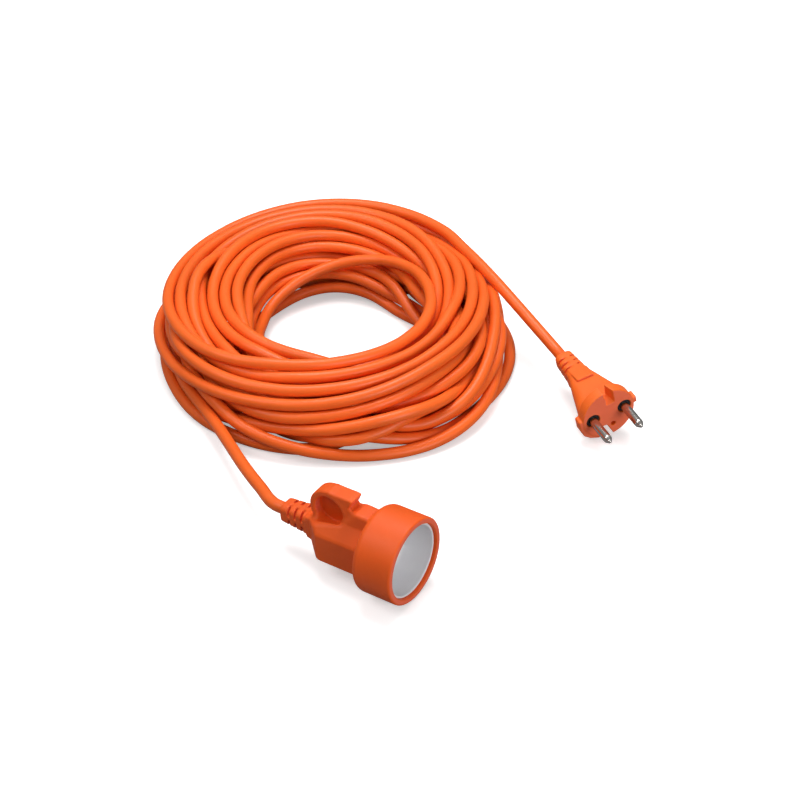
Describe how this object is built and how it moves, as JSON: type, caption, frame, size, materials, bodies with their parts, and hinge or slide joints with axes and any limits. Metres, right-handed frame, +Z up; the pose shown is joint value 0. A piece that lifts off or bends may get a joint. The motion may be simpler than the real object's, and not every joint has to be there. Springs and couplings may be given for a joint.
{
  "type": "extension cord",
  "caption": "Orange extension cord, coiled by hand, with a moulded two-pin plug and a moulded coupling socket with a finger ring.",
  "frame": {"origin": "on the ground, under the middle of the whole object's bounding box", "axes": "+Z up, -Y towards the side of the coil where the socket end lies, +X towards the side where the plug end lies"},
  "size_m": [0.272, 0.3304, 0.0484],
  "materials": {
    "cord": "satin soft PVC, orange",
    "plug_body": "satin moulded PVC, orange",
    "socket_body": "satin moulded PVC, orange",
    "pin_bridge": "black hard plastic",
    "insert": "light grey hard plastic",
    "carrier": "ivory hard plastic",
    "nickel": "nickel plate",
    "brass": "stamped brass",
    "copper": "bare copper strands",
    "core_brown": "brown core insulation",
    "core_blue": "blue core insulation"
  },
  "bodies": {
    "coil": {"cable_coil": "cord"},
    "plug_lead_a": {"plug_lead_1": "cord"},
    "plug_lead_b": {"plug_lead_2": "cord"},
    "plug_lead_c": {"plug_lead_3": "cord"},
    "plug_end": {"plug_shell": "plug_body", "plug_pin_bridge": "pin_bridge", "plug_pin_left": "nickel", "plug_pin_right": "nickel", "plug_core_brown": "core_brown", "plug_core_blue": "core_blue", "plug_strand_brown": "copper", "plug_strand_blue": "copper", "plug_cord_end": "cord"},
    "socket_lead_a": {"socket_lead_1": "cord"},
    "socket_lead_b": {"socket_lead_2": "cord"},
    "socket_lead_c": {"socket_lead_3": "cord"},
    "socket_end": {"socket_shell": "socket_body", "socket_insert": "insert", "socket_carrier": "carrier", "socket_contact_left": "brass", "socket_contact_right": "brass", "socket_core_brown": "core_brown", "socket_core_blue": "core_blue", "socket_strand_brown": "copper", "socket_strand_blue": "copper", "socket_cord_end": "cord"}
  },
  "joints": [
    {"name": "plug_swing", "type": "hinge", "parent": "coil", "child": "plug_lead_a", "pos_m": [0.07629, 0.05829, 0.02872], "axis": [0, 0, 1], "range_deg": [-8, 24]},
    {"name": "plug_lift", "type": "hinge", "parent": "plug_lead_a", "child": "plug_lead_b", "pos_m": [0.08281, 0.04874, 0.0256], "axis": [-0.8191, -0.5737, 0], "range_deg": [0, 22]},
    {"name": "plug_swing_outer", "type": "hinge", "parent": "plug_lead_b", "child": "plug_lead_c", "pos_m": [0.08946, 0.03926, 0.02231], "axis": [0, 0, 1], "range_deg": [-8, 24]},
    {"name": "plug_lift_outer", "type": "hinge", "parent": "plug_lead_c", "child": "plug_end", "pos_m": [0.09577, 0.02946, 0.01954], "axis": [-0.9182, -0.3961, 0], "range_deg": [0, 22]},
    {"name": "socket_swing", "type": "hinge", "parent": "coil", "child": "socket_lead_a", "pos_m": [-0.07291, -0.06756, 0.01564], "axis": [0, 0, 1], "range_deg": [-24, 14]},
    {"name": "socket_lift", "type": "hinge", "parent": "socket_lead_a", "child": "socket_lead_b", "pos_m": [-0.06706, -0.07903, 0.01694], "axis": [-0.9092, -0.4164, 0], "range_deg": [0, 22]},
    {"name": "socket_swing_outer", "type": "hinge", "parent": "socket_lead_b", "child": "socket_lead_c", "pos_m": [-0.06155, -0.09104, 0.01846], "axis": [0, 0, 1], "range_deg": [-24, 14]},
    {"name": "socket_lift_outer", "type": "hinge", "parent": "socket_lead_c", "child": "socket_end", "pos_m": [-0.05436, -0.10162, 0.01974], "axis": [-0.5542, -0.8324, 0], "range_deg": [0, 22]}
  ],
  "couplings": [
    {"joint": "plug_swing_outer", "follows": "plug_swing", "ratio": 1},
    {"joint": "plug_lift_outer", "follows": "plug_lift", "ratio": 1},
    {"joint": "socket_swing_outer", "follows": "socket_swing", "ratio": 1},
    {"joint": "socket_lift_outer", "follows": "socket_lift", "ratio": 1}
  ]
}
